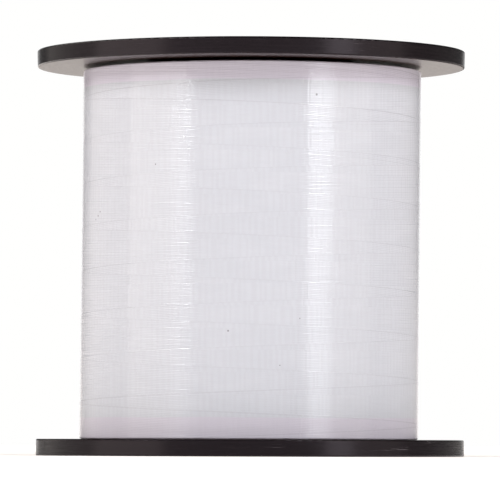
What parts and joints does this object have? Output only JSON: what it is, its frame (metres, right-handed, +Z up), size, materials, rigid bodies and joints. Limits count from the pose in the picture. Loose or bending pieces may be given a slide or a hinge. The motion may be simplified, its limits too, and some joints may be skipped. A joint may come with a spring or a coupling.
{
  "type": "fishing line spool",
  "caption": "Bulk spool of clear monofilament fishing line wound on a tube between two wide black flanges, with a central spindle bore.",
  "frame": {"origin": "centre of the lower flange's outer face, on the surface that the spool stands on", "axes": "+Z up along the spool's axis, from the lower flange to the upper one; -Y is the front, +Y is the side with the line's end"},
  "size_m": [0.076, 0.076, 0.0718],
  "materials": {
    "flange_plastic": "black moulded plastic, satin, with fine scuffs on the rims",
    "core_plastic": "black extruded plastic, matte",
    "clear_line": "clear nylon line, milky in bulk, with bright highlights along the winding",
    "clear_tape": "thin clear adhesive tape",
    "label_paper": "coated label paper with plain printed rings"
  },
  "bodies": {
    "root": {"lower_flange": "flange_plastic", "upper_flange": "flange_plastic", "core_tube": "core_plastic", "line_winding": "clear_line", "line_tail": "clear_line", "start_tape": "clear_tape", "tail_tape": "clear_tape", "lower_label": "label_paper", "upper_label": "label_paper"}
  },
  "joints": []
}
